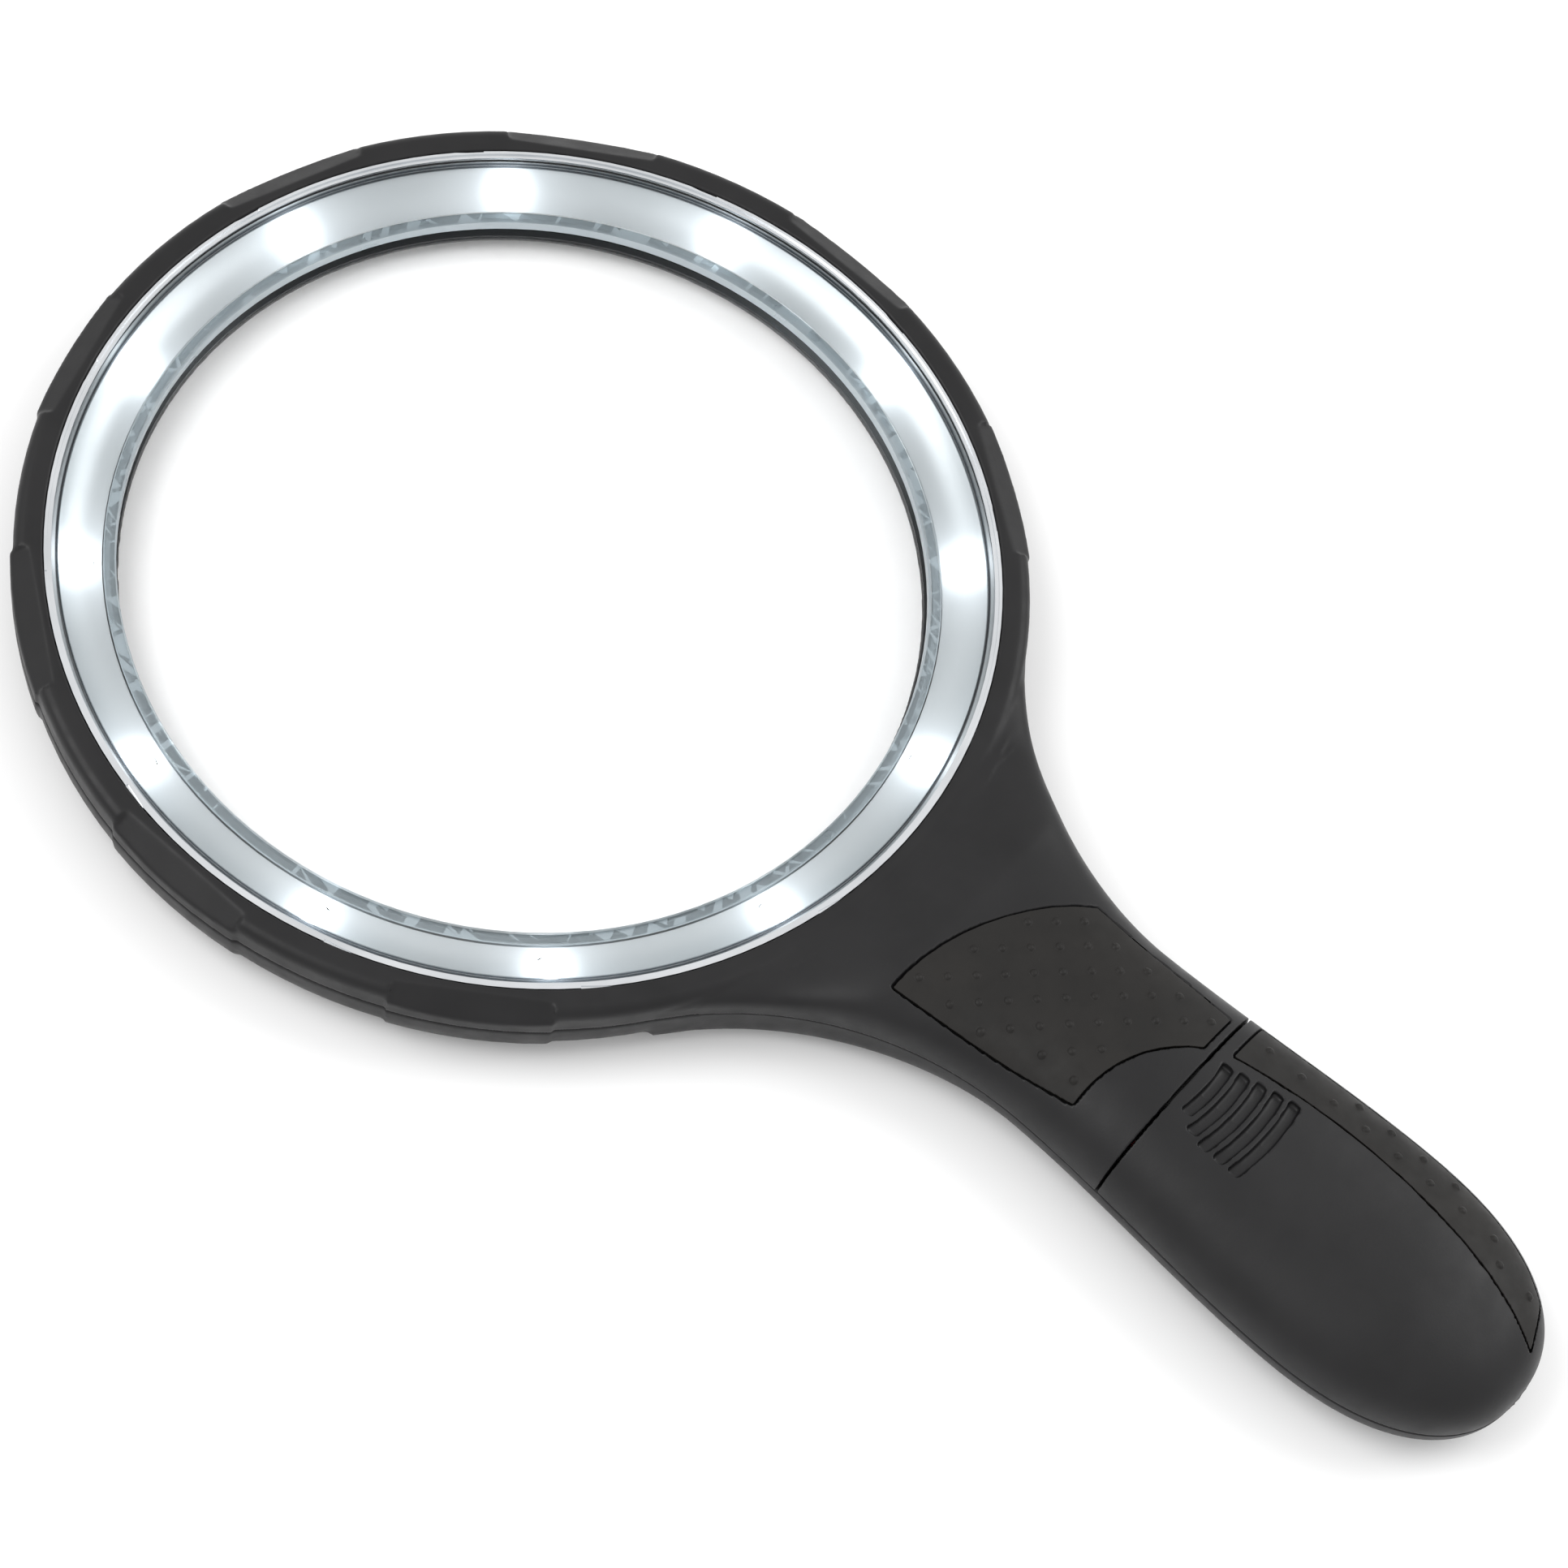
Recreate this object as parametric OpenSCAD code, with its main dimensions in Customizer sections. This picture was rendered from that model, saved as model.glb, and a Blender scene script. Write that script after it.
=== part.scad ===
// Hand-held low vision magnifier with a ring of lamps and three AAA cells in the handle.
// It lies on its back: lamps up (+Z), handle along -Y, origin at the centre of its rest footprint.

/* [Head] */
// Diameter of the lens
lens_d = 141; // [139:0.5:142]
// Radius of curvature of both lens faces
lens_curve_r = 450; // [450:5:600]
// Radial width of the rim around the lens
rim_w = 16; // [16:0.5:17]
// Thickness of the rim from its back face to its front face
rim_t = 16.5; // [16.5:0.25:17.5]
// How far the raised pads stand out from the rim
pad_rise = 0.5; // [0.3:0.1:0.6]
// Number of raised pads round the rim
pad_count = 10; // [8:2:12]
// Number of lamps in the ring
lamp_count = 12; // [8:2:16]

/* [Handle] */
// Distance from the lens centre to the end of the handle
tip_s = 216; // [214:1:222]
// Distance from the lens centre to the narrowest part of the neck
neck_s = 126; // [124:1:128]
// Width of the neck at its narrowest
neck_w = 39; // [39:0.5:41]
// Distance from the lens centre to the widest part of the grip
grip_s = 180; // [178:1:182]
// Width of the grip at its widest
grip_w = 45; // [45:0.5:48]
// Height of the grip above the plane where the shells meet
grip_h = 12; // [12:0.25:13]
// Thickness of the moulded walls
wall = 2.2; // [2.1:0.1:2.3]

/* [Movement] */
// Travel of the thumb switch
switch_travel = 3; // [2:0.5:3]

/* [Cells] */
// Diameter of one cell
cell_d = 10.5; // [10:0.1:10.5]
// Length of one cell with its terminal
cell_len = 44.4; // [43.8:0.1:44.6]

/* [Hidden] */

$fn = 96;
far = 300;
gap = 0.1;
door_gap = 0.25;

shell_color = "#3c3b3f";
grip_color = "#35312f";
silver_color = "#d4d6d8";
steel_color = "#b9bcc0";

// Radii of the head, from the lens outwards
lens_r = lens_d / 2;
seat_r = lens_r - 1.7;
lens_face_r = lens_r - 1.5;
clamp_in_r = lens_r - 1.1;
clamp_out_r = lens_r + 1.1;
wall_in_r = lens_r + 0.3;
wall_out_r = lens_r + 2.4;
board_in_r = wall_out_r + 0.3;
ledge_r = lens_r + 3.8;
lamp_r = lens_r + 5.3;
band_r = lens_r + 8.8;
outer_ledge_r = lens_r + 9.3;
cover_r = lens_r + 10.3;
opening_r = lens_r + 11;
rim_r = lens_r + rim_w;
rim_wall_r = rim_r - wall;
pad_r = rim_r + pad_rise;

// Levels, from the back upwards
split_z = 11;
floor_z = wall;
seat_z = 5.4;
seat_flare = 3;
lens_z = 6;
lens_edge = 3.6;
lens_top_z = lens_z + lens_edge;
lens_mid_z = lens_z + lens_edge / 2;
board_z = 8.2;
board_t = 1.2;
lamp_z = board_z + board_t;
clamp_top_z = lens_top_z + 2;
band_low_z = clamp_top_z + 1.1;
band_high_z = rim_t - 1;
cover_t = 1;

// Curved edges of the rim
front_round = 2.2;
front_drop = 1.8;
back_round = 6.5;
back_rise = 9.5;
facet_r = rim_r - 3.7;
facet_tilt = 33;

// Handle outline
neck_half = neck_w / 2;
grip_half = grip_w / 2;
flare_r = (neck_half * neck_half + neck_s * neck_s - rim_r * rim_r) / (2 * (rim_r - neck_half));
flare_s = neck_s * rim_r / (rim_r + flare_r);
end_s = grip_s + 10;
seam_s = 143.5;
seam_half_gap = 0.2;
rise_s = 82;
rim_power = 6;
side_power = 2.5;
plan_power = 2.3;
head_y = (tip_s - rim_r) / 2;
inlay_t = 1;
inlay_gap = 0.35;
skirt_h = 4;

// Battery compartment
cell_r = cell_d / 2;
cell_pitch = 11;
cell_z = 9.6;
bay_s = 149.7;
bay_end_s = 198.8;
plate_t = 0.5;
bump_t = 0.4;
nub_len = 1;
nub_r = 1.9;
tray_half = 16.2;
tray_wall = 1.8;
wire_tunnel = [5.5, 4.6];
rail_x = 16.45;
rail_s = 147;
rail_len = 29;
rail_t = 0.6;

// Switch
switch_s = 112;
switch_board_z = 8.4;
switch_body_h = 4.6;
board_screw_x = 8.2;
board_screw_head_r = 1.9;

// Screws, as x and distance from the lens centre
SCREWS = [[22, 91], [-22, 91], [11, 131], [-11, 131]];
screw_seat_z = 4;
boss_z = 3;
boss_r = 3.3;

// Wire routes, as x, distance from the lens centre and height
POSITIVE_ROUTE = [[-11, 146.4, 13.05], [-10, 142, 12.9], [-8, 137, 12.8],
                  [-6.5, 131, 12.4], [-6, 126, 11.3], [-5, 121, 10.35]];
NEGATIVE_ROUTE = [[5.5, 198.7, 4.6], [5.5, 180, 4.6], [5.5, 160, 4.6], [5.5, 146, 4.6],
                  [5.8, 140, 4.8], [6.5, 131, 5.2], [12, 122, 6.2], [13.5, 112, 6],
                  [11, 100, 6], [6, 90, 6.2], [4, 84, 6.4], [4, 77, 7.3]];
LAMP_ROUTE = [[-4, 106, 10.45], [-4, 101.5, 10.45], [-4.5, 97, 9.2], [-4.5, 92, 7.6], [-4.2, 86, 7],
              [-4, 77, 7.3]];
wire_r = 0.7;

function smooth(t) = let (u = min(1, max(0, t))) u * u * (3 - 2 * u);
function cap(t, power) = pow(max(0, 1 - pow(min(1, max(0, t)), power)), 1 / power);
function signed_pow(v, power) = sign(v) * pow(abs(v), power);
function unit(v) = v / norm(v);
function reverse(list) = [for (k = [len(list) - 1:-1:0]) list[k]];

// Points from p to q along an arc that stands off the chord by sag, on the left of the way
function arc_points(p, q, sag, steps = 10) =
    let (chord = q - p, half = norm(chord) / 2, left = unit([-chord[1], chord[0]]),
         r = (half * half + sag * sag) / (2 * abs(sag)),
         centre = (p + q) / 2 + left * (sag > 0 ? sag - r : sag + r),
         from = atan2(p[1] - centre[1], p[0] - centre[0]),
         sweep = 2 * asin(half / r) * (sag > 0 ? -1 : 1))
    [for (k = [0:steps]) centre + r * [cos(from + sweep * k / steps), sin(from + sweep * k / steps)]];

// True where the point p lies inside the outline
function inside(p, outline) =
    let (n = len(outline), hits = [for (k = [0:n - 1])
        let (a = outline[k], b = outline[(k + 1) % n])
        if ((a[1] > p[1]) != (b[1] > p[1])
            && p[0] < a[0] + (b[0] - a[0]) * (p[1] - a[1]) / (b[1] - a[1])) 1])
    len(hits) % 2 == 1;

// Distance from the point p to the nearest side of the outline
function gap_to(p, outline) =
    let (n = len(outline))
    min([for (k = [0:n - 1])
        let (a = outline[k], way = outline[(k + 1) % n] - a, u = min(1, max(0, (p - a) * way / (way * way))))
        norm(p - a - u * way)]);

// Half width of the handle at distance s from the lens centre
function half_width(s) =
    s < neck_s ? neck_half + flare_r - sqrt(flare_r * flare_r - (neck_s - s) * (neck_s - s))
    : s < grip_s ? neck_half + (grip_half - neck_half) * smooth((s - neck_s) / (grip_s - neck_s))
    : grip_half * cap((s - grip_s) / (tip_s - grip_s), plan_power);

function width_scale(s) = s < grip_s ? 1 : half_width(s) / grip_half;
function end_scale(s) = cap((s - end_s) / (tip_s - end_s), side_power);
function rim_front_h() = rim_t - split_z;
function shoulder_h() = rim_front_h() + 3.4;
function top_height(s) =
    (rim_front_h() + (shoulder_h() - rim_front_h()) * smooth((s - rise_s) / 16)
    + (grip_h - shoulder_h()) * smooth((s - rise_s - 16) / 42)) * end_scale(s);
function section_power(s) =
    side_power + (rim_power - side_power) * (1 - smooth((s - flare_s) / (neck_s - flare_s)));

// Height of the front surface of the handle at x and distance s
function top_z(x, s) =
    let (p = section_power(s))
    split_z + top_height(s) * cap(abs(x) / half_width(s), p);

// Stations along the handle, at distances from the lens centre
NECK_STATIONS = [for (k = [0:12]) flare_s + (neck_s - flare_s) * k / 12];
GRIP_STATIONS = [for (k = [1:8]) neck_s + (grip_s - neck_s) * k / 8];
TIP_STATIONS = [for (k = [1:11]) grip_s + (tip_s - grip_s) * sin(86 * k / 11)];
COVER_STATIONS = concat(NECK_STATIONS, [for (k = [0:3]) GRIP_STATIONS[k]]);
DOOR_STATIONS = concat([for (k = [1:7]) GRIP_STATIONS[k]], TIP_STATIONS);
ALL_STATIONS = concat(NECK_STATIONS, GRIP_STATIONS, TIP_STATIONS);

// Section of one half of the handle at distance s, drawn in by inset, side is 1 in front and -1 behind
function half_section(s, inset, side, steps = 20) =
    let (p = section_power(s),
         a = half_width(s) - inset * width_scale(s),
         h = (side > 0 ? top_height(s) : split_z * end_scale(s)) - inset * end_scale(s),
         y = s < grip_s ? -s : -grip_s - (s - grip_s) * (1 - inset / (tip_s - grip_s)),
         arc = [for (k = [0:steps]) let (t = 180 * k / steps)
             [a * signed_pow(cos(t), 2 / p), y, split_z + side * h * signed_pow(sin(t), 2 / p)]],
         skirt = split_z - side * skirt_h,
         ring = concat(arc, [[-a, y, skirt], [a, y, skirt]]))
    side > 0 ? ring : reverse(ring);

// Closed skin over rings of points, each ring counter-clockwise as seen along the way of the rings
module ring_skin(rings) {
    n = len(rings[0]);
    last = (len(rings) - 1) * n;
    sides = [
        for (k = [0:len(rings) - 2])
            for (j = [0:n - 1])
                let (a = k * n + j, b = k * n + (j + 1) % n)
                    each [[a, b + n, b], [a, a + n, b + n]]
    ];
    start = [for (j = [0:n - 1]) j];
    finish = [for (j = [n - 1:-1:0]) last + j];
    polyhedron(points = [for (ring = rings) each ring], faces = concat([start], sides, [finish]));
}

// Solid half of the handle over the given stations, with a straight skirt past the split plane
module half_form(inset, side, stations) {
    ring_skin([for (s = stations) half_section(s, inset, side)]);
}

// Tube of radius r along a path; guide is a direction that the path never takes
module tube(path, r, guide, sides) {
    n = len(path);
    ring_skin([
        for (k = [0:n - 1])
            let (way = unit(path[min(k + 1, n - 1)] - path[max(k - 1, 0)]),
                 side = unit(cross(way, guide)), up = cross(side, way))
                [for (j = [0:sides - 1]) path[k] + r * (cos(360 * j / sides) * side + sin(360 * j / sides) * up)]
    ]);
}

// Smooth curve through the points of a route
function curve(route, steps = 3) =
    let (n = len(route))
    concat([
        for (k = [0:n - 2])
            let (p0 = route[max(k - 1, 0)], p1 = route[k], p2 = route[k + 1], p3 = route[min(k + 2, n - 1)])
                for (j = [0:steps - 1])
                    let (u = j / steps)
                        0.5 * (2 * p1 + (p2 - p0) * u + (2 * p0 - 5 * p1 + 4 * p2 - p3) * u * u
                        + (3 * p1 - p0 - 3 * p2 + p3) * u * u * u)
    ], [route[n - 1]]);

module wire(route) {
    tube(curve([for (p = route) [p[0], -p[1], p[2]]]), wire_r, [0, 0, 1], 8);
}

// Puts a piece drawn round the lens centre in its place and colour
module placed(tint) {
    color(tint) translate([0, head_y, 0]) children();
}

module washer(in_r, out_r, low, high) {
    translate([0, 0, low]) difference() {
        cylinder(r = out_r, h = high - low);
        translate([0, 0, -1]) cylinder(r = in_r, h = high - low + 2);
    }
}

// Box between two distances from the lens centre
module block(x_low, x_high, s_low, s_high, z_low, z_high) {
    translate([x_low, -s_high, z_low]) cube([x_high - x_low, s_high - s_low, z_high - z_low]);
}

module round_lamps() {
    for (k = [0:lamp_count - 1])
        rotate(-90 + 360 * (k + 0.5) / lamp_count) translate([lamp_r, 0, 0]) children();
}

// The two places beside the neck have no pad
pad_angle = 180 / pad_count;
module round_pads() {
    for (k = [1:pad_count - 2])
        rotate(-90 + 360 * (k + 0.5) / pad_count) children();
}

module pad_sector(outline) {
    rotate(-pad_angle / 2) rotate_extrude(angle = pad_angle) polygon(outline);
}

// Rounded front corner of the rim at radius r
function front_corner(r) =
    [for (k = [0:6]) [r - front_round * (1 - cos(15 * k)), rim_t - front_drop * (1 - sin(15 * k))]];

// Rounded back edge of the rim at radius r, from the side down to the back face
function back_curve(r) =
    [for (k = [0:9]) [r - back_round * (1 - cos(10 * k)), back_rise * (1 - sin(10 * k))]];

module front_rim() {
    tongue_z = split_z - 1.4;
    rotate_extrude() polygon(concat(
        [[rim_wall_r - 1, tongue_z], [rim_wall_r - gap, tongue_z], [rim_wall_r - gap, split_z],
         [rim_r, split_z]], front_corner(rim_r),
        [[opening_r + 0.2, rim_t], [opening_r, rim_t - 0.2], [opening_r, rim_t - wall],
         [rim_wall_r - 1, rim_t - wall]]));
    round_pads() pad_sector(concat(
        [[rim_wall_r + 1, split_z], [pad_r, split_z]], front_corner(pad_r), [[rim_wall_r + 1, rim_t]]));
}

// Flat that is cut across the front edge of each raised pad
module pad_facet() {
    intersection() {
        pad_sector([[facet_r - 3, rim_t - 6], [pad_r + 2, rim_t - 6], [pad_r + 2, rim_t + 1],
                    [facet_r - 3, rim_t + 1]]);
        translate([facet_r, -far / 4, rim_t]) rotate([0, facet_tilt, 0]) cube([12, far / 2, 6]);
    }
}

module back_rim() {
    rotate_extrude() polygon(concat(
        [[rim_wall_r, split_z], [rim_r, split_z]], back_curve(rim_r),
        [[seat_r + seat_flare, 0], [seat_r, seat_z - 0.8], [seat_r, seat_z], [wall_in_r, seat_z],
         [wall_in_r, lens_top_z], [wall_out_r, lens_top_z], [wall_out_r, board_z],
         [ledge_r, board_z], [ledge_r, floor_z], [outer_ledge_r, floor_z],
         [outer_ledge_r, board_z], [outer_ledge_r + 1.5, board_z],
         [outer_ledge_r + 1.5, 4.8], [rim_wall_r - 1.5, 4.8], [rim_wall_r, 7.5]]));
    round_pads() pad_sector(concat(
        [[pad_r - 1.2, split_z], [pad_r, split_z]], back_curve(pad_r), reverse(back_curve(pad_r - 1.2))));
}

// Everything between two distances from the lens centre and two heights
module slab(s_low, s_high, z_low, z_high) {
    block(-far / 2, far / 2, s_low, s_high, z_low, z_high);
}

// Wall of one half of the handle outside the rim
module handle_wall(side, stations) {
    difference() {
        half_form(0, side, stations);
        difference() {
            half_form(wall, side, stations);
            cylinder(r = rim_r - gap, h = far, center = true);
        }
        cylinder(r = rim_wall_r + gap, h = far, center = true);
    }
}

// Opening between the neck and the hollow rim, for the wires
module wire_way() {
    block(-7, 7, outer_ledge_r - 1, rim_r + 3, floor_z + 2, split_z + 1);
}

module back_shell() {
    placed(shell_color) difference() {
        union() {
            back_rim();
            intersection() {
                handle_wall(-1, ALL_STATIONS);
                slab(0, far, -1, split_z);
            }
            intersection() {
                half_form(wall / 2, -1, DOOR_STATIONS);
                slab(seam_s, seam_s + 1.4, 0, split_z);
            }
            for (at = SCREWS)
                translate([at[0], -at[1], boss_z]) cylinder(r = boss_r, h = split_z - boss_z);
            for (side = [-1, 1])
                translate([side * board_screw_x, -switch_s, 1.5]) cylinder(r = 2.2, h = switch_board_z - 1.5);
            for (side = [-1, 1])
                mirror([side < 0 ? 1 : 0, 0, 0]) door_rail();
        }
        for (at = SCREWS)
            translate([at[0], -at[1], 0]) {
                translate([0, 0, -1]) cylinder(r = 2.5, h = screw_seat_z + 1);
                cylinder(r = 1.45, h = split_z + 1);
            }
        for (side = [-1, 1])
            translate([side * board_screw_x, -switch_s, 4]) cylinder(r = 1, h = 6);
        wire_way();
        block(3.5, 8.5, seam_s - 1, seam_s + 3, floor_z + 0.5, 7);
        thumb_recess();
    }
}

// Hooked rail that the battery door slides on
module door_rail() {
    block(rail_x, rail_x + rail_t, rail_s, rail_s + rail_len, 5, split_z + 2.7);
    block(rail_x, rail_x + rail_t + 0.5, rail_s, rail_s + rail_len, split_z + 2, split_z + 2.7);
}

// Shallow oval recess and the slot for the thumb switch
module thumb_recess() {
    translate([0, -switch_s, 0]) {
        translate([0, 3.5, -1]) cylinder(r = 8, h = 2.2);
        translate([0, -3.5, -1]) cylinder(r = 8, h = 2.2);
        translate([-8, -3.5, -1]) cube([16, 7, 2.2]);
        translate([-3.4, -5 - switch_travel / 2, -1]) cube([6.8, 10 + switch_travel, 8]);
    }
}

function neck_outline() =
    concat(arc_points([-20, -97.2], [15.6, -112.8], 4.4), [[14.8, -142]],
           arc_points([6.4, -142], [-15.2, -132.5], -3.1));

function door_outline() =
    concat([for (k = [0:12]) let (s = 146 + 5.25 * k) [half_width(s) - 2, -s]],
           arc_points([4.2, -213], [8.6, -146], -5.2));

// Cutter of the pocket that an inlay sits in
module surface_pocket(outline, stations) {
    difference() {
        translate([0, 0, split_z + 1]) linear_extrude(height = far / 10) polygon(outline);
        half_form(inlay_t, 1, stations);
    }
}

nub_pitch = 3.35;
nub_start = [-5.4, -102.9];
nub_ball_r = 0.95;
nub_sink = 0.55;
module grip_nubs(outline, margin) {
    for (i = [-6:8])
        for (j = [-2:33])
            let (p = nub_start + nub_pitch * [i, -j])
                if ((i + j) % 2 == 0 && inside(p, outline) && gap_to(p, outline) > margin)
                    translate([p[0], p[1], top_z(p[0], -p[1]) - nub_sink]) sphere(r = nub_ball_r, $fn = 24);
}

// Plate that fills an outline, follows the surface of the handle and stands on its pocket's floor
module grip_inlay(outline, nub_margin, stations) {
    difference() {
        union() {
            intersection() {
                half_form(0, 1, stations);
                translate([0, 0, split_z + 1]) linear_extrude(height = far / 10)
                    offset(delta = -inlay_gap) polygon(outline);
            }
            grip_nubs(outline, nub_margin);
        }
        half_form(inlay_t - gap / 2, 1, stations);
    }
}

module neck_grip_inlay() {
    placed(grip_color) grip_inlay(neck_outline(), 2, COVER_STATIONS);
}

module door_grip_inlay() {
    placed(grip_color) grip_inlay(door_outline(), 1.7, DOOR_STATIONS);
}

module front_shell() {
    placed(shell_color) difference() {
        union() {
            front_rim();
            intersection() {
                handle_wall(1, COVER_STATIONS);
                slab(0, seam_s - seam_half_gap, split_z, far);
            }
            intersection() {
                half_form(wall / 2, 1, COVER_STATIONS);
                slab(137, 138.6, split_z, far);
            }
            for (at = SCREWS)
                translate([at[0], -at[1], split_z])
                    cylinder(r = boss_r, h = top_z(at[0], at[1]) - 1 - split_z);
        }
        round_pads() pad_facet();
        for (at = SCREWS)
            translate([at[0], -at[1], split_z - 1]) cylinder(r = 1.15, h = 5.4);
        block(-13, 13, 136, 140, split_z - 1, split_z + 3.8);
        wire_way();
        surface_pocket(neck_outline(), COVER_STATIONS);
    }
}

// Curved finger slots by the seam, each an arc wider than the one before it
slot_count = 5;
slot_centre = [1.3, -118];
slot_r = 28.2;
slot_w = 2.2;
slot_pitch = 3.1;
slot_depth = 1.1;
module finger_slots() {
    difference() {
        for (k = [0:slot_count - 1])
            let (r = slot_r + slot_pitch * k, left = 5 + 4 * smooth((k + 1) / 3), right = 5.6 + 0.7 * k)
                translate([slot_centre[0], slot_centre[1], split_z + 4]) intersection() {
                    washer(r, r + slot_w, 0, far / 10);
                    translate([-left, -r - 3, 0]) cube([left + right, r, far / 10]);
                }
        half_form(slot_depth, 1, DOOR_STATIONS);
    }
}

module battery_door() {
    door_z = split_z + door_gap;
    door_s = seam_s + seam_half_gap;
    placed(shell_color) {
        difference() {
            intersection() {
                handle_wall(1, DOOR_STATIONS);
                slab(door_s, far, door_z, far);
            }
            surface_pocket(door_outline(), DOOR_STATIONS);
            finger_slots();
        }
        intersection() {
            half_form(wall / 2, 1, DOOR_STATIONS);
            difference() {
                slab(rail_s - 2, rail_s + rail_len, door_z, split_z + 1.75);
                block(-rail_x - rail_t - 0.15, rail_x + rail_t + 0.15, 0, far, 0, far);
            }
        }
        block(-6, 6, seam_s - 3, seam_s + 6, split_z + 7.9, split_z + 9.1);
        block(-6, 6, seam_s + 2, seam_s + 6, split_z + 8.5, split_z + 10.5);
    }
}

module magnifier_lens() {
    sagitta = lens_curve_r - sqrt(lens_curve_r * lens_curve_r - lens_face_r * lens_face_r);
    rise = lens_edge / 2 + sagitta - lens_curve_r;
    placed("#dfeef2") translate([0, 0, lens_mid_z]) {
        intersection() {
            translate([0, 0, rise]) sphere(r = lens_curve_r, $fn = 360);
            translate([0, 0, -rise]) sphere(r = lens_curve_r, $fn = 360);
            cylinder(r = lens_face_r, h = 40, center = true);
        }
        cylinder(r = lens_r, h = lens_edge, center = true);
    }
}

module lens_gasket() {
    placed("#2b2b2d") washer(seat_r + 0.4, lens_r, seat_z, lens_z);
}

module lens_clamp_ring() {
    placed("#b4b9be") washer(clamp_in_r, clamp_out_r, lens_top_z, clamp_top_z);
}

// Sloped mirror band behind the clear cover, with a round window for each lamp
module reflector_ring() {
    in_r = clamp_out_r + 0.2;
    placed(silver_color) difference() {
        rotate_extrude() polygon(concat(
            [[in_r, lens_top_z], [in_r, clamp_top_z - 0.4]],
            [for (k = [1:7]) let (u = k / 8)
                [in_r + (band_r + gap - in_r) * u, clamp_top_z - 0.4 + (band_high_z - 0.9 - clamp_top_z) * u * u]],
            [[band_r + gap, band_high_z - 1.3], [band_r + gap, band_high_z - cover_t - gap],
             [cover_r - 0.4, band_high_z - cover_t - gap], [cover_r - 0.4, lamp_z],
             [band_r - 0.9, lamp_z], [band_r - 0.9, band_high_z - 2.9],
             [wall_out_r + 0.4, clamp_top_z - 1], [wall_out_r - 0.2, lens_top_z]]));
        round_lamps() translate([0, 0, lamp_z]) cylinder(r = 2.8, h = 8);
    }
}

// Clear ring over the lamps: a flat flange, a fine groove and a slope down to the lens
module lamp_cover_ring() {
    slope = (band_high_z - band_low_z) / (band_r - wall_in_r + 0.2);
    inner = wall_in_r - 0.2;
    placed("#e3edf0") rotate_extrude() polygon([
        [clamp_in_r + 0.3, clamp_top_z], [clamp_in_r + 0.3, band_low_z - 0.2], [inner, band_low_z],
        [band_r - 0.3, band_high_z - 0.1], [band_r, band_high_z - 0.5], [band_r + 0.3, band_high_z],
        [cover_r, band_high_z], [cover_r, band_high_z - cover_t], [band_r, band_high_z - cover_t],
        [inner + 0.8, band_low_z + 0.8 * slope - cover_t], [inner + 0.8, clamp_top_z]]);
}

// Silver ring between rim and cover, with a gap in its upper edge beside each lamp
module trim_ring() {
    top = rim_t - 0.3;
    placed(silver_color) difference() {
        union() {
            washer(cover_r + gap, opening_r - gap, rim_t - wall, top);
            washer(cover_r - 0.6, opening_r - gap, band_high_z + gap / 2, band_high_z + 0.35);
        }
        round_lamps() translate([cover_r + gap / 2 - lamp_r, 4.5, band_high_z + 0.45]) cube([2, 11, 3]);
    }
}

module lamp_board() {
    placed("#e9efe9") washer(board_in_r, cover_r, board_z, lamp_z);
}

module lamps() {
    placed("#f4f8ff") round_lamps() translate([0, 0, lamp_z]) {
        cylinder(r = 2.6, h = 0.8, $fn = 32);
        cylinder(r = 2.4, h = 1.3, $fn = 32);
        translate([0, 0, 1.3]) intersection() {
            sphere(r = 2.4, $fn = 32);
            cylinder(r = 3, h = 3, $fn = 32);
        }
    }
}

module lamp_resistors() {
    placed("#23262b")
        for (k = [0:2:lamp_count - 1])
            rotate(-90 + 360 * k / lamp_count) translate([lamp_r - 0.8, -1.6, lamp_z]) cube([1.6, 3.2, 0.6]);
}

module cell(tint, x, up) {
    first = up ? bay_s + bump_t : bay_end_s - bump_t;
    way = up ? 90 : -90;
    placed(tint) translate([x, -first, cell_z]) rotate([way, 0, 0]) {
        cylinder(r = nub_r, h = nub_len + 0.5, $fn = 32);
        translate([0, 0, nub_len]) cylinder(r = cell_r - 0.4, h = cell_len - nub_len, $fn = 64);
        translate([0, 0, nub_len + 0.4]) cylinder(r = cell_r, h = cell_len - nub_len - 0.8, $fn = 64);
    }
}

module cell_left() {
    cell("#2f6fb0", -cell_pitch, true);
}

module cell_middle() {
    cell("#2f6fb0", 0, false);
}

module cell_right() {
    cell("#2f6fb0", cell_pitch, true);
}

module battery_tray() {
    placed("#232326") difference() {
        intersection() {
            union() {
                block(-tray_half, tray_half, bay_s, bay_end_s, floor_z + 0.3, 8.2);
                block(-tray_half, tray_half, bay_s - plate_t - tray_wall, bay_s - plate_t,
                      floor_z + 0.3, 13.8);
                block(-tray_half, tray_half, bay_end_s + plate_t, bay_end_s + plate_t + tray_wall,
                      floor_z + 0.3, 13.8);
                block(-tray_half, tray_half, bay_s - plate_t, bay_end_s + plate_t, floor_z + 0.3, 3.6);
            }
            half_form(wall + 0.2, -1, DOOR_STATIONS);
        }
        for (k = [-1:1])
            translate([k * cell_pitch, -bay_s + 0.1, cell_z]) rotate([90, 0, 0])
                cylinder(r = cell_r + 0.1, h = bay_end_s - bay_s + 0.2);
        translate([wire_tunnel[0], -bay_s + 6, wire_tunnel[1]]) rotate([90, 0, 0])
            cylinder(r = 0.9, h = bay_end_s - bay_s + 6);
    }
}

// Contact plate across the bay, at the neck end or at the far end
module contact_plate(x_low, x_high, near) {
    from = near ? bay_s - plate_t : bay_end_s;
    block(x_low, x_high, from, from + plate_t, 5.6, 13.6);
}

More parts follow.
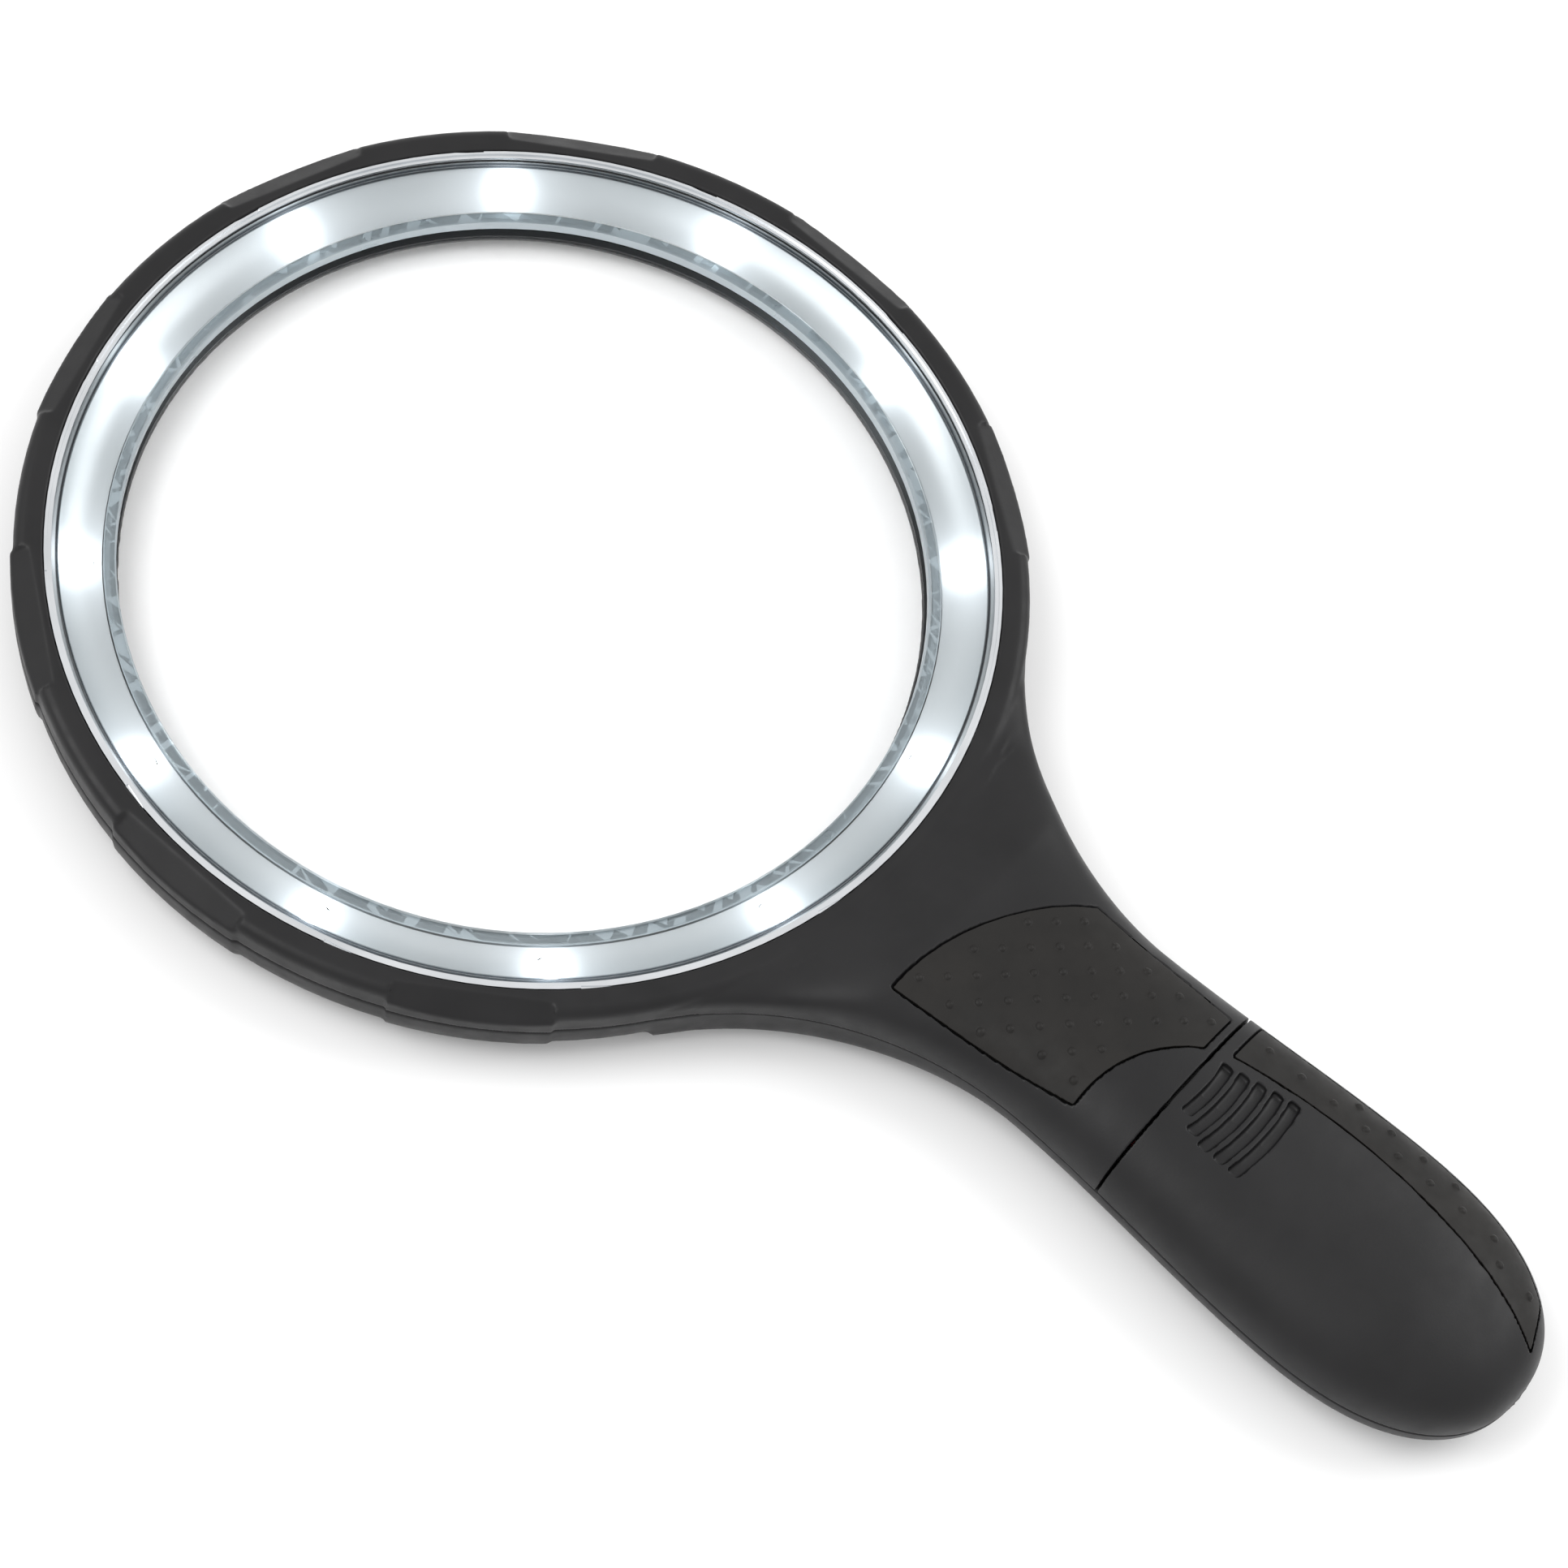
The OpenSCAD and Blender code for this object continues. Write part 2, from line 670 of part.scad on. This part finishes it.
module contact_bump(x, near) {
    translate([x, near ? -bay_s : -bay_end_s, cell_z]) rotate([near ? 90 : -90, 0, 0])
        cylinder(r1 = 2, r2 = 1.5, h = bump_t, $fn = 32);
}

module positive_terminal() {
    placed(steel_color) {
        contact_plate(-15, -7, true);
        contact_bump(-cell_pitch, true);
        block(-12.5, -9.5, 145.8, bay_s, 13.8, 14.3);
        block(-12.5, -9.5, bay_s - plate_t, bay_s, 13.5, 14.3);
    }
}

module front_bridge_contact() {
    placed(steel_color) {
        contact_plate(-4, 15, true);
        contact_bump(cell_pitch, true);
    }
}

module rear_bridge_contact() {
    placed(steel_color) {
        contact_plate(-15, 4, false);
        contact_bump(0, false);
    }
}

module negative_terminal() {
    placed(steel_color) {
        contact_plate(7, 15, false);
        block(4.7, 7.2, bay_end_s, bay_end_s + plate_t, 3.7, 9);
    }
}

spring_turns = 4;
spring_wire_r = 0.3;
module contact_spring(x, near) {
    length = bay_end_s - bay_s - bump_t - cell_len - 2 * spring_wire_r - 0.04;
    from = near ? bay_s + spring_wire_r + 0.02 : bay_end_s - spring_wire_r - 0.02;
    steps = 12 * spring_turns;
    tube([
        for (k = [0:steps])
            let (u = k / steps, r = 3.4 - 1.2 * u)
                [x + r * cos(360 * spring_turns * u), -from - (near ? 1 : -1) * length * u,
                 cell_z + r * sin(360 * spring_turns * u)]
    ], spring_wire_r, [0, 1, 0], 6);
}

module contact_springs() {
    placed(steel_color) {
        contact_spring(-cell_pitch, false);
        contact_spring(0, true);
        contact_spring(cell_pitch, false);
    }
}

module switch_board() {
    placed("#2c6b46") difference() {
        block(-11, 11, switch_s - 10, switch_s + 10, switch_board_z, switch_board_z + board_t);
        for (side = [-1, 1])
            translate([side * board_screw_x, -switch_s, switch_board_z - 1]) cylinder(r = 1.1, h = 4);
    }
}

// Switch housing, open below where the slider comes through
module switch_body() {
    low = switch_board_z - switch_body_h;
    placed(steel_color) difference() {
        block(-3.5, 3.5, switch_s - 6.5, switch_s + 6.5, low, switch_board_z);
        block(-2.8, 2.8, switch_s - 5.7, switch_s + 5.7, low + 0.7, switch_board_z - 0.5);
        block(-1.4, 1.4, switch_s - 1.6 - switch_travel / 2, switch_s + 1.6 + switch_travel / 2, low - 1, low + 1);
    }
}

// The switch is drawn pushed towards the lens, which is its on position
slider_s = switch_s - switch_travel / 2;
module switch_slider() {
    low = switch_board_z - switch_body_h;
    placed("#e8e4da") {
        block(-2.5, 2.5, slider_s - 3, slider_s + 3, low + 1, switch_board_z - 0.8);
        block(-1.1, 1.1, slider_s - 1.2, slider_s + 1.2, low - 1.2, low + 1.1);
    }
}

module switch_knob() {
    low = switch_board_z - switch_body_h;
    placed("#26262a") difference() {
        union() {
            block(-4.8, 4.8, slider_s - 6.4, slider_s + 6.4, floor_z + 0.2, low - 0.3);
            block(-3.1, 3.1, slider_s - 4.6, slider_s + 4.6, 0.4, low - 0.4);
        }
        block(-1.2, 1.2, slider_s - 1.3, slider_s + 1.3, low - 1.2 - gap, low + 1);
        for (k = [-2:2])
            block(-4, 4, slider_s + 1.6 * k - 0.4, slider_s + 1.6 * k + 0.4, 0, 0.9);
    }
}

module positive_wire() {
    placed("#b3262a") wire(POSITIVE_ROUTE);
}

module negative_wire() {
    placed("#18181a") wire(NEGATIVE_ROUTE);
}

module lamp_wire() {
    placed("#b3262a") wire(LAMP_ROUTE);
}

// Self-tapping screw pointing up, its cross recess cut into the head
module screw(head_r, head_h, shank_r, shank_len) {
    difference() {
        union() {
            translate([0, 0, -head_h]) cylinder(r = head_r, h = head_h);
            cylinder(r = shank_r, h = shank_len);
        }
        for (turn = [0, 90])
            rotate(turn) translate([-head_r * 0.6, -0.3, -head_h - 1]) cube([head_r * 1.2, 0.6, 1.7]);
    }
}

module shell_screws() {
    placed(steel_color)
        for (at = SCREWS)
            translate([at[0], -at[1], screw_seat_z]) screw(2.3, 2, 1.1, 11);
}

module board_screws() {
    placed(steel_color)
        for (side = [-1, 1])
            translate([side * board_screw_x, -switch_s, switch_board_z + board_t]) mirror([0, 0, 1])
                screw(board_screw_head_r, 1.3, 0.9, 5);
}

back_shell();
front_shell();
battery_door();
neck_grip_inlay();
door_grip_inlay();
magnifier_lens();
lens_gasket();
lens_clamp_ring();
reflector_ring();
lamp_cover_ring();
trim_ring();
lamp_board();
lamps();
lamp_resistors();
battery_tray();
cell_left();
cell_middle();
cell_right();
positive_terminal();
negative_terminal();
front_bridge_contact();
rear_bridge_contact();
contact_springs();
switch_board();
switch_body();
switch_slider();
switch_knob();
positive_wire();
negative_wire();
lamp_wire();
shell_screws();
board_screws();
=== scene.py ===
"""Looks of the lit hand magnifier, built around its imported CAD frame.

Lengths are in millimetres and become metres where they are multiplied by MM.
"""

import math

import bpy
import numpy as np
from mathutils import Matrix, Vector


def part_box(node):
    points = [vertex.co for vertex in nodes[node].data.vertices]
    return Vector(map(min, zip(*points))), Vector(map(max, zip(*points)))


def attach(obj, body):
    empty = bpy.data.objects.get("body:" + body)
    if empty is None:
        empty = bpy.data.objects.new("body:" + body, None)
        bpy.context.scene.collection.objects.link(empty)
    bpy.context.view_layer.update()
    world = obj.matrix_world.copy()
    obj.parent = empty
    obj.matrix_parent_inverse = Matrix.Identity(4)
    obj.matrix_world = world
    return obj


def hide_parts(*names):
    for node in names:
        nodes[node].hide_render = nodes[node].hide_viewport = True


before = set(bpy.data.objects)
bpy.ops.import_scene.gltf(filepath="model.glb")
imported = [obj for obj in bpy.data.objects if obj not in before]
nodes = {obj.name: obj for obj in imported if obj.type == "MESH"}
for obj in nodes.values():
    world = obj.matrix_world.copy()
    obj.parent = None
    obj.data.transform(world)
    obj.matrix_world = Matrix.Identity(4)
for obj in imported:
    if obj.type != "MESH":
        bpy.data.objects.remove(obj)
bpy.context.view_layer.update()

MM = 0.001

# ---------------------------------------------------------------- driving sizes, in millimetres
# The head's place, the lens and the handle's length come from the frame.
# The others repeat the CAD part's values.
lens_low, lens_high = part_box("magnifier_lens")
door_low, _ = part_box("battery_door")
HEAD = Vector(((lens_low.x + lens_high.x) / 2, (lens_low.y + lens_high.y) / 2, 0))
LENS_R = (lens_high.x - lens_low.x) / 2 / MM
RIM_W = 16.0
RIM_R = LENS_R + RIM_W
RIM_T = 16.5
SPLIT_Z = 11.0
TIP_S = (HEAD.y - door_low.y) / MM
NECK_S = 126.0
NECK_HALF = 19.5
GRIP_S = 180.0
GRIP_HALF = 22.5
GRIP_H = 12.0
LAMP_COUNT = 12
LAMP_R = LENS_R + 5.3
GROOVE_R = LENS_R + 8.8
FLARE_R = (NECK_HALF**2 + NECK_S**2 - RIM_R**2) / (2 * (RIM_R - NECK_HALF))
FLARE_S = NECK_S * RIM_R / (RIM_R + FLARE_R)
END_S = GRIP_S + 10
RISE_S = 82.0
SHOULDER_LEN = 16.0
GRIP_RISE_LEN = 42.0
RIM_H = RIM_T - SPLIT_Z
SHOULDER_H = RIM_H + 3.4
PLAN_POWER = 2.3
SIDE_POWER = 2.5
RIM_POWER = 6.0
TINY = 1e-3


# ---------------------------------------------------------------- the handle's form, as in the CAD part
def ease(t):
    u = np.clip(t, 0, 1)
    return u * u * (3 - 2 * u)


def cap(t, power):
    return np.maximum(0, 1 - np.clip(t, 0, 1) ** power) ** (1 / power)


def half_width(s):
    flare = NECK_HALF + FLARE_R - np.sqrt(np.maximum(0, FLARE_R**2 - (NECK_S - s) ** 2))
    grip = NECK_HALF + (GRIP_HALF - NECK_HALF) * ease((s - NECK_S) / (GRIP_S - NECK_S))
    tip = GRIP_HALF * cap((s - GRIP_S) / (TIP_S - GRIP_S), PLAN_POWER)
    return np.where(s < NECK_S, flare, np.where(s < GRIP_S, grip, tip))


def half_height(s, front):
    end = cap((s - END_S) / (TIP_S - END_S), SIDE_POWER)
    rise = RIM_H + (SHOULDER_H - RIM_H) * ease((s - RISE_S) / SHOULDER_LEN)
    rise = rise + (GRIP_H - SHOULDER_H) * ease((s - RISE_S - SHOULDER_LEN) / GRIP_RISE_LEN)
    return np.where(front, rise, SPLIT_Z) * end


def section_power(s):
    """Roundness of the cross section: boxy at the rim, rounder from the neck on."""
    return SIDE_POWER + (RIM_POWER - SIDE_POWER) * (1 - ease((s - FLARE_S) / (NECK_S - FLARE_S)))


def fullness(points):
    """1 on the handle's outer surface, less inside it and more outside, at points measured from the lens."""
    x, s, z = np.abs(points[:, 0]), -points[:, 1], points[:, 2] - SPLIT_Z
    wide = np.maximum(half_width(s), TINY)
    high = np.maximum(half_height(s, z >= 0), TINY)
    power = section_power(s)
    return ((x / wide) ** power + (np.abs(z) / high) ** power) ** (1 / power)


# How far inside and outside the surface a point may lie and still be moved,
# and the share of that reach over which the move fades out
INNER_REACH = 0.4
OUTER_REACH = 0.14
REACH_FADE = 0.4
RIM_MARGIN = 0.6
TIP_MARGIN = 0.05
EASE_PASSES = 2


def eased_onto_form(points):
    """Moves what lies close to the handle's outer surface onto it, so that its facets become one curve."""
    outside_rim = np.hypot(points[:, 0], points[:, 1]) > RIM_R + RIM_MARGIN
    on_handle = outside_rim & (-points[:, 1] > FLARE_S) & (-points[:, 1] < TIP_S - TIP_MARGIN)
    for _ in range(EASE_PASSES):
        value = fullness(points) - 1
        slope = np.stack([fullness(points + TINY * axis) - 1 - value for axis in np.eye(3)], 1) / TINY
        steep = np.maximum((slope**2).sum(1), 1e-9)
        reach = np.where(value < 0, INNER_REACH, OUTER_REACH)
        away = np.abs(value) / np.sqrt(steep)
        share = np.where(on_handle, np.clip((reach - away) / (REACH_FADE * reach), 0, 1), 0)
        points = points - (share * value / steep)[:, None] * slope
    return points


WELD_REACH = 1e-6


def moulded(node, name, body, slot, voxel, rounds):
    """A moulded copy of a CAD node: one even skin, edges softened, facets eased onto the handle's form."""
    source = nodes[node]
    weld = source.modifiers.new("weld", "WELD")
    weld.merge_threshold = WELD_REACH
    skin = source.modifiers.new("skin", "REMESH")
    skin.mode = "VOXEL"
    skin.voxel_size = voxel * MM
    soften = source.modifiers.new("soften", "SMOOTH")
    soften.factor = 0.5
    soften.iterations = rounds
    shown = source.evaluated_get(bpy.context.evaluated_depsgraph_get())
    mesh = bpy.data.meshes.new_from_object(shown)
    source.modifiers.clear()
    mesh.name = name
    flat = np.zeros(len(mesh.vertices) * 3, np.float32)
    mesh.vertices.foreach_get("co", flat)
    points = (flat.reshape(-1, 3).astype(float) - np.array(HEAD)) / MM
    points = eased_onto_form(points)
    flat = (points * MM + np.array(HEAD)).astype(np.float32).ravel()
    mesh.vertices.foreach_set("co", flat)
    mesh.update()
    mesh.shade_smooth()
    piece = bpy.data.objects.new(name, mesh)
    bpy.context.scene.collection.objects.link(piece)
    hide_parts(node)
    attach(piece, body)
    return piece


# ---------------------------------------------------------------- materials
class Look:
    """A procedural material: a Principled shader fed by noise in the piece's own coordinates."""

    def __init__(self, name):
        self.material = bpy.data.materials.new(name)
        self.material.use_nodes = True
        self.tree = self.material.node_tree
        self.shader = self.tree.nodes["Principled BSDF"]
        self.output = self.tree.nodes["Material Output"]
        self.place = self.add("ShaderNodeTexCoord").outputs["Object"]

    def add(self, kind, **settings):
        made = self.tree.nodes.new(kind)
        for key, value in settings.items():
            setattr(made, key, value)
        return made

    def link(self, source, target):
        self.tree.links.new(source, target)

    def set(self, **values):
        for key, value in values.items():
            self.shader.inputs[key.replace("_", " ")].default_value = value
        return self

    def noise(self, size, detail=2.0, roughness=0.5, stretch=None):
        """Noise whose cells are about size millimetres across."""
        made = self.add("ShaderNodeTexNoise")
        made.inputs["Scale"].default_value = 1 / (size * MM)
        made.inputs["Detail"].default_value = detail
        made.inputs["Roughness"].default_value = roughness
        if stretch:
            mapping = self.add("ShaderNodeMapping")
            mapping.inputs["Scale"].default_value = stretch
            self.link(self.place, mapping.inputs["Vector"])
            self.link(mapping.outputs["Vector"], made.inputs["Vector"])
        else:
            self.link(self.place, made.inputs["Vector"])
        return made.outputs["Fac"]

    def ramp(self, value, stops):
        made = self.add("ShaderNodeValToRGB")
        band = made.color_ramp
        while len(band.elements) < len(stops):
            band.elements.new(0.5)
        for element, (at, colour) in zip(band.elements, stops):
            element.position = at
            element.color = (*colour, 1)
        self.link(value, made.inputs["Fac"])
        return made.outputs["Color"]

    def spread(self, value, low, high):
        """Maps noise values onto low..high."""
        made = self.add("ShaderNodeMapRange")
        made.inputs["From Min"].default_value = 0.3
        made.inputs["From Max"].default_value = 0.7
        made.inputs["To Min"].default_value = low
        made.inputs["To Max"].default_value = high
        self.link(value, made.inputs["Value"])
        return made.outputs["Result"]

    def coloured(self, dark, light, size, detail=3.0, stretch=None):
        shade = self.ramp(self.noise(size, detail, 0.55, stretch), [(0.35, dark), (0.65, light)])
        self.link(shade, self.shader.inputs["Base Color"])
        return self

    def glossy(self, low, high, size, stretch=None):
        level = self.spread(self.noise(size, 2.0, 0.5, stretch), low, high)
        self.link(level, self.shader.inputs["Roughness"])
        return self

    def bumped(self, *layers):
        """Each layer is (size, height, strength), the first two in millimetres."""
        normal = None
        for size, height, strength in layers:
            made = self.add("ShaderNodeBump")
            made.inputs["Distance"].default_value = height * MM
            made.inputs["Strength"].default_value = strength
            self.link(self.noise(size, 2.0, 0.6), made.inputs["Height"])
            if normal:
                self.link(normal, made.inputs["Normal"])
            normal = made.outputs["Normal"]
        self.link(normal, self.shader.inputs["Normal"])
        return self

    def maths(self, operation, a, b=None):
        made = self.add("ShaderNodeMath", operation=operation)
        for socket, value in zip(made.inputs, (a, b)):
            if isinstance(value, (int, float)):
                socket.default_value = value
            elif value is not None:
                self.link(value, socket)
        return made.outputs["Value"]

    def polar(self):
        """Distance in metres from the head's axis, and angle from the handle's direction."""
        split = self.add("ShaderNodeSeparateXYZ")
        self.link(self.place, split.inputs["Vector"])
        x = self.maths("SUBTRACT", split.outputs["X"], HEAD.x)
        y = self.maths("SUBTRACT", split.outputs["Y"], HEAD.y)
        squared = self.maths("ADD", self.maths("MULTIPLY", x, x), self.maths("MULTIPLY", y, y))
        return self.maths("SQRT", squared), self.maths("ARCTAN2", x, self.maths("MULTIPLY", y, -1.0))

    def bell(self, squared, width):
        """1 at the centre, fading with a squared distance over width millimetres."""
        return self.maths("EXPONENT", self.maths("MULTIPLY", squared, -1 / (width * MM) ** 2))


def shell_look():
    look = Look("textured_charcoal_plastic")
    look.coloured((0.0062, 0.0060, 0.0066), (0.0092, 0.0089, 0.0096), 14)
    look.glossy(0.40, 0.50, 4)
    look.bumped((0.55, 0.035, 0.35), (0.18, 0.012, 0.3))
    return look.set(Specular_IOR_Level=0.3).material


def grip_look():
    look = Look("dark_grip_rubber")
    look.coloured((0.0060, 0.0052, 0.0044), (0.0090, 0.0078, 0.0066), 8)
    look.glossy(0.50, 0.62, 3)
    look.bumped((0.40, 0.03, 0.35))
    return look.set(Specular_IOR_Level=0.3).material


def lens_look():
    look = Look("clear_acrylic_lens")
    look.coloured((0.985, 0.995, 1.0), (1.0, 1.0, 1.0), 40)
    look.set(Roughness=0.0, IOR=1.49, Transmission_Weight=1.0)
    return lit_through(look).material


def lit_through(look):
    """Lets lamp and studio light pass a clear piece instead of throwing its shadow."""
    path = look.add("ShaderNodeLightPath")
    clear = look.add("ShaderNodeBsdfTransparent")
    mix = look.add("ShaderNodeMixShader")
    look.link(path.outputs["Is Shadow Ray"], mix.inputs["Fac"])
    look.link(look.shader.outputs["BSDF"], mix.inputs[1])
    look.link(clear.outputs["BSDF"], mix.inputs[2])
    look.link(mix.outputs["Shader"], look.output.inputs["Surface"])
    return look


CORE_W = 3.4
HALO_W = 9.0


def painted_lamp_glow(look, core, halo):
    """Painted light that pools round each lamp: a bright core and a wide soft halo, as emission strength."""
    radius, turn = look.polar()
    step = 2 * math.pi / LAMP_COUNT
    aside = look.maths("SUBTRACT", step / 2, look.maths("PINGPONG", turn, step / 2))
    along = look.maths("MULTIPLY", aside, radius)
    across = look.maths("SUBTRACT", radius, LAMP_R * MM)
    squared = look.maths("ADD", look.maths("MULTIPLY", along, along), look.maths("MULTIPLY", across, across))
    bright = look.maths("MULTIPLY", look.bell(squared, CORE_W), core)
    return look.maths("ADD", bright, look.maths("MULTIPLY", look.bell(squared, HALO_W), halo))


def reflector_look():
    look = Look("silvered_reflector")
    look.coloured((0.53, 0.54, 0.55), (0.60, 0.61, 0.62), 45, stretch=(1.0, 1.0, 4.0))
    look.glossy(0.30, 0.38, 20)
    look.bumped((6.0, 0.004, 0.1))
    look.set(Metallic=0.55, Emission_Color=(0.90, 0.95, 1.0, 1))
    # painted lamp light: the reflector glows in pools round each lamp, though it is no lamp
    look.link(painted_lamp_glow(look, 1.7, 0.32), look.shader.inputs["Emission Strength"])
    return look.material


GROOVE_W = 0.28


def cover_look():
    """Clear cover: it lets the band show through, mirrors a little, and has painted shade in its fine
    groove.
    """
    look = Look("clear_lamp_cover")
    look.coloured((0.93, 0.96, 0.97), (1.0, 1.0, 1.0), 30)
    look.set(Roughness=0.06, IOR=1.45)
    radius, _ = look.polar()
    off = look.maths("SUBTRACT", radius, GROOVE_R * MM)
    groove = look.bell(look.maths("MULTIPLY", off, off), GROOVE_W)
    # painted shade: the see-through colour turns dark along the groove's radius
    painted_groove_shade = look.ramp(groove, [(0.25, (0.97, 0.985, 0.99)), (0.8, (0.16, 0.18, 0.20))])
    clear = look.add("ShaderNodeBsdfTransparent")
    look.link(painted_groove_shade, clear.inputs["Color"])
    shine = look.add("ShaderNodeFresnel")
    shine.inputs["IOR"].default_value = 1.3
    mix = look.add("ShaderNodeMixShader")
    look.link(shine.outputs["Fac"], mix.inputs["Fac"])
    look.link(clear.outputs["BSDF"], mix.inputs[1])
    look.link(look.shader.outputs["BSDF"], mix.inputs[2])
    look.link(mix.outputs["Shader"], look.output.inputs["Surface"])
    return look.material


def lamp_look():
    look = Look("lit_lamp_epoxy")
    look.coloured((0.92, 0.95, 1.0), (1.0, 1.0, 1.0), 3)
    look.set(Roughness=0.15, Emission_Color=(0.93, 0.97, 1.0, 1), Emission_Strength=5.0)
    return look.material


def metal_look(name, dark, light, rough=(0.25, 0.4), size=2.0, stretch=None, bump=0.01):
    look = Look(name)
    look.coloured(dark, light, size, stretch=stretch)
    look.glossy(*rough, size, stretch)
    look.bumped((size / 2, bump, 0.3))
    return look.set(Metallic=1.0).material


def plain_look(name, dark, light, rough=(0.4, 0.55), size=3.0, bump=0.01, **more):
    look = Look(name)
    look.coloured(dark, light, size)
    look.glossy(*rough, size / 2)
    look.bumped((size / 6, bump, 0.3))
    return look.set(**more).material


LOOKS = {
    "shell": shell_look(),
    "grip": grip_look(),
    "lens": lens_look(),
    "reflector": reflector_look(),
    "cover": cover_look(),
    "lamp": lamp_look(),
    "clamp": metal_look("satin_clamp_ring", (0.42, 0.47, 0.50), (0.48, 0.53, 0.56), (0.26, 0.34), 16,
                        bump=0.002),
    "trim": metal_look("silver_trim", (0.66, 0.68, 0.70), (0.74, 0.76, 0.78), (0.2, 0.28), 16, bump=0.002),
    "steel": metal_look("plated_steel", (0.45, 0.45, 0.46), (0.62, 0.62, 0.63)),
    "seal": plain_look("black_seal", (0.012, 0.012, 0.013), (0.022, 0.022, 0.024), (0.55, 0.7)),
    "board_white": plain_look("white_board", (0.70, 0.73, 0.70), (0.82, 0.85, 0.82)),
    "board_green": plain_look("green_board", (0.02, 0.12, 0.05), (0.035, 0.18, 0.08)),
    "resistor": plain_look("resistor_black", (0.015, 0.016, 0.02), (0.03, 0.03, 0.035)),
    "tray": plain_look("tray_plastic", (0.012, 0.012, 0.013), (0.024, 0.024, 0.026)),
    "cell": plain_look("cell_jacket", (0.03, 0.13, 0.36), (0.045, 0.18, 0.46), (0.25, 0.35), 8),
    "slider": plain_look("pale_slider", (0.62, 0.60, 0.54), (0.74, 0.72, 0.66)),
    "knob": plain_look("knob_plastic", (0.014, 0.014, 0.016), (0.026, 0.026, 0.03), (0.35, 0.45), 2),
    "wire_red": plain_look("red_wire", (0.30, 0.014, 0.016), (0.42, 0.03, 0.03), (0.3, 0.4)),
    "wire_black": plain_look("black_wire", (0.010, 0.010, 0.011), (0.02, 0.02, 0.022), (0.3, 0.4)),
}

NODE_LOOKS = {
    "back_shell": "shell", "front_shell": "shell", "battery_door": "shell",
    "neck_grip_inlay": "grip", "door_grip_inlay": "grip",
    "magnifier_lens": "lens", "lens_gasket": "seal", "lens_clamp_ring": "clamp",
    "reflector_ring": "reflector", "lamp_cover_ring": "cover", "trim_ring": "trim",
    "lamp_board": "board_white", "lamps": "lamp", "lamp_resistors": "resistor",
    "battery_tray": "tray", "cell_left": "cell", "cell_middle": "cell", "cell_right": "cell",
    "positive_terminal": "steel", "negative_terminal": "steel",
    "front_bridge_contact": "steel", "rear_bridge_contact": "steel", "contact_springs": "steel",
    "switch_board": "board_green", "switch_body": "steel", "switch_slider": "slider",
    "switch_knob": "knob", "positive_wire": "wire_red", "negative_wire": "wire_black",
    "lamp_wire": "wire_red", "shell_screws": "steel", "board_screws": "steel",
}


def dress(obj, look):
    obj.data.materials.clear()
    obj.data.materials.append(LOOKS[look])


def smooth_by_angle(obj, degrees):
    """Smooth shading, with edges sharper than the angle kept crisp."""
    if "custom_normal" in obj.data.attributes:
        obj.data.attributes.remove(obj.data.attributes["custom_normal"])
    obj.data.shade_smooth()
    obj.modifiers.new("weld", "WELD").merge_threshold = WELD_REACH
    obj.modifiers.new("crisp_edges", "EDGE_SPLIT").split_angle = math.radians(degrees)


CRISP_DEGREES = 28

# node: (piece, body, slot, voxel size in millimetres, smoothing rounds)
MOULDED = {
    "back_shell": ("moulded_back_shell", "housing", "shell_plastic", 0.45, 5),
    "front_shell": ("moulded_front_shell", "housing", "shell_plastic", 0.35, 6),
    "battery_door": ("moulded_battery_door", "door", "shell_plastic", 0.3, 6),
    "neck_grip_inlay": ("moulded_neck_grip", "housing", "grip_rubber", 0.2, 2),
    "door_grip_inlay": ("moulded_door_grip", "door", "grip_rubber", 0.2, 2),
}
for name, look in NODE_LOOKS.items():
    if name in MOULDED:
        dress(moulded(name, *MOULDED[name]), look)
    else:
        smooth_by_angle(nodes[name], CRISP_DEGREES)
    dress(nodes[name], look)


# ---------------------------------------------------------------- studio
def studio():
    scene = bpy.context.scene
    scene.view_settings.view_transform = "Standard"
    world = bpy.data.worlds.new("studio_air")
    scene.world = world
    world.use_nodes = True
    sky = world.node_tree.nodes["Background"]
    sky.inputs["Color"].default_value = (1.0, 1.0, 1.0, 1)
    sky.inputs["Strength"].default_value = 0.95

    bpy.ops.mesh.primitive_grid_add(x_subdivisions=8, y_subdivisions=8, size=6)
    floor = bpy.context.object
    floor.name = "studio_floor"
    look = Look("white_sweep")
    look.coloured((0.93, 0.93, 0.93), (0.95, 0.95, 0.95), 900)
    look.set(Roughness=0.9, Specular_IOR_Level=0.0)
    floor.data.materials.append(look.material)


def soft_lamp(name, place, aim, size, power):
    data = bpy.data.lights.new(name, "AREA")
    data.shape = "DISK"
    data.size = size
    data.energy = power
    lamp = bpy.data.objects.new(name, data)
    bpy.context.scene.collection.objects.link(lamp)
    lamp.location = place
    lamp.rotation_euler = (Vector(aim) - Vector(place)).to_track_quat("-Z", "Y").to_euler()


def camera():
    """Camera high above the part, the handle running away to the lower right."""
    place = HEAD + Vector((-316.5, -208.1, 667.7)) * MM
    aim = HEAD + Vector((-3.0, -60.0, RIM_T)) * MM
    roll = math.radians(17.51)
    data = bpy.data.cameras.new("camera")
    data.sensor_width = 36
    data.lens = 101.72
    view = bpy.data.objects.new("camera", data)
    bpy.context.scene.collection.objects.link(view)
    level = (aim - place).to_track_quat("-Z", "Y").to_matrix()
    view.matrix_world = Matrix.Translation(place) @ (level @ Matrix.Rotation(roll, 3, "Z")).to_4x4()
    data.clip_start, data.clip_end = 0.01, 20
    bpy.context.scene.camera = view


studio()
soft_lamp("key_softbox", (-0.5, 0.6, 1.1), (0, 0, 0), 0.9, 7)
soft_lamp("fill_softbox", (0.9, -0.5, 0.9), (0, 0, 0), 0.9, 6)
camera()
